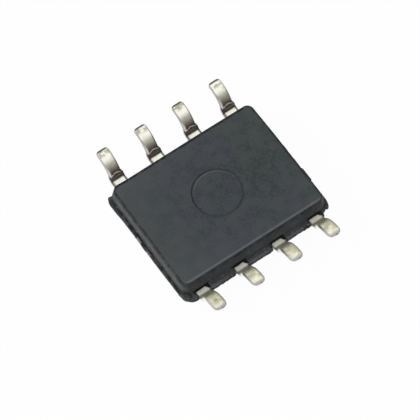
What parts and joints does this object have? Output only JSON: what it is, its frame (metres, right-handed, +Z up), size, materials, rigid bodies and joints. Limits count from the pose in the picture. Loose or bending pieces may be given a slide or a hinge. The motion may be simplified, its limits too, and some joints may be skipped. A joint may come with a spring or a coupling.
{
  "type": "audio amplifier chip",
  "caption": "Small-outline audio amplifier chip, a dark moulded block with rows of tin-plated gull-wing leads, lying on its back with the soles up.",
  "frame": {"origin": "middle of the marked face, which the chip lies on", "axes": "+X along the lead rows, +Y across them towards leads 1 to 4, +Z up out of the underside, the way the soles face"},
  "size_m": [0.0051, 0.0058, 0.0015],
  "materials": {
    "mould_compound": "fine-grained charcoal epoxy moulding compound",
    "tin_plate": "satin tin plate over copper, warm silver with darker bends",
    "leadframe_copper": "stamped copper alloy, silver flashed",
    "die_adhesive": "silver-filled epoxy",
    "silicon": "polished silicon",
    "bond_wire": "drawn gold wire"
  },
  "bodies": {
    "root": {"moulded_body": "mould_compound", "die_paddle": "leadframe_copper", "die_attach": "die_adhesive", "silicon_die": "silicon", "lead_1": "tin_plate", "bond_wire_1": "bond_wire", "lead_2": "tin_plate", "bond_wire_2": "bond_wire", "lead_3": "tin_plate", "bond_wire_3": "bond_wire", "lead_4": "tin_plate", "bond_wire_4": "bond_wire", "lead_5": "tin_plate", "bond_wire_5": "bond_wire", "lead_6": "tin_plate", "bond_wire_6": "bond_wire", "lead_7": "tin_plate", "bond_wire_7": "bond_wire", "lead_8": "tin_plate", "bond_wire_8": "bond_wire"}
  },
  "joints": []
}
